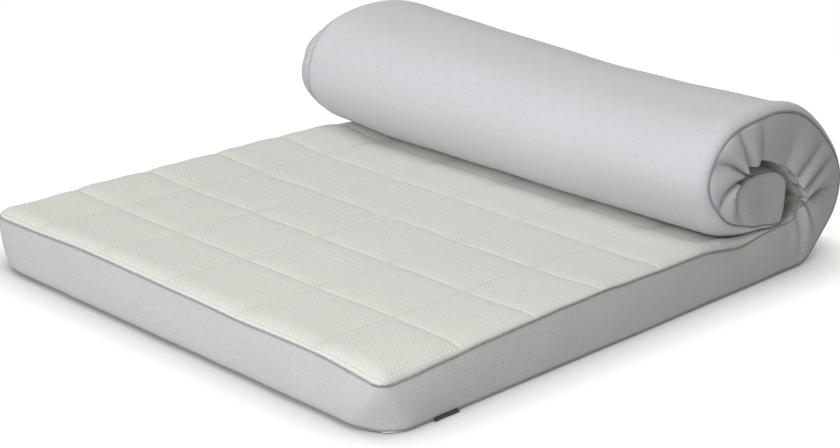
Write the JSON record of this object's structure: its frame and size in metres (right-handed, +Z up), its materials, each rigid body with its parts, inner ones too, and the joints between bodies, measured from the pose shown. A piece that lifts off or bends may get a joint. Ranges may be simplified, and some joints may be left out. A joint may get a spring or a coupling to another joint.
{
  "type": "mattress topper",
  "caption": "Rectangular latex mattress topper in a quilted, piped and zipped cover, flat at one end and rolled up over itself at the other.",
  "frame": {"origin": "on the flat underside, in the middle of the floor that the topper covers", "axes": "+X across the topper, +Y along it from the flat end to the roll, +Z up"},
  "size_m": [0.9187, 1.1849, 0.3173],
  "materials": {
    "latex": "matte",
    "sock_jersey": "matte",
    "quilt_scrim": "matte",
    "quilt_fibre": "matte",
    "quilted_knit": "matte",
    "spacer_mesh": "matte",
    "smooth_knit": "matte",
    "piping_cord": "matte",
    "tab_weave": "matte",
    "zip_tape": "matte",
    "zip_coil": "satin",
    "zip_metal": "satin"
  },
  "bodies": {
    "topper": {"latex_core": "latex", "core_sock": "sock_jersey", "quilt_scrim": "quilt_scrim", "quilt_wadding": "quilt_fibre", "top_quilt": "quilted_knit", "mesh_border": "spacer_mesh", "bottom_panel": "smooth_knit", "upper_piping": "piping_cord", "lower_piping": "piping_cord", "side_tab": "tab_weave", "zip_tape_upper": "zip_tape", "zip_tape_lower": "zip_tape", "zip_coil_upper": "zip_coil", "zip_coil_lower": "zip_coil", "zip_front_stop": "zip_metal", "zip_rear_stop": "zip_metal"},
    "slider": {"zip_slider": "zip_metal"},
    "pull": {"zip_pull": "zip_metal"}
  },
  "joints": [
    {"name": "slider_slide", "type": "slide", "parent": "topper", "child": "slider", "axis": [0, 1, 0], "range_m": [0, 0.9345]},
    {"name": "pull_swing", "type": "hinge", "parent": "slider", "child": "pull", "pos_m": [-0.451, -0.51233, 0.04475], "axis": [0, 0, 1], "range_deg": [0, 178]}
  ]
}
